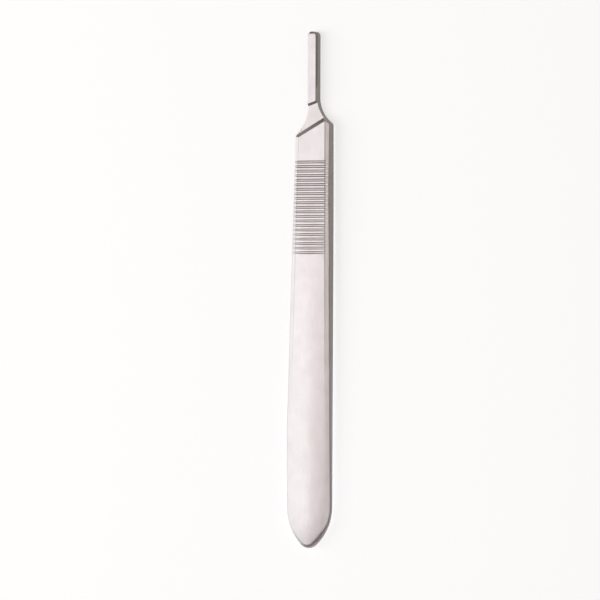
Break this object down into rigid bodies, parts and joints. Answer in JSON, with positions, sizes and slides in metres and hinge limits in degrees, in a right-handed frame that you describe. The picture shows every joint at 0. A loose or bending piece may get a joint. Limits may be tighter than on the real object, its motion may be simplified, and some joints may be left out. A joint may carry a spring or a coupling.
{
  "type": "scalpel handle",
  "caption": "Flat tapered steel scalpel handle with cross grooves for grip, a slanted shoulder and a narrow bar with a grooved lug that takes a detachable blade.",
  "frame": {"origin": "middle of the rectangle that the handle covers as it lies on its back face, on the plane it rests on", "axes": "+Y along the handle towards the blade end, +Z out of the face that takes the blade, +X towards the straight spine edge"},
  "size_m": [0.0122, 0.125, 0.0032],
  "materials": {
    "steel": "satin brushed"
  },
  "bodies": {
    "root": {"scalpel_handle": "steel"}
  },
  "joints": []
}
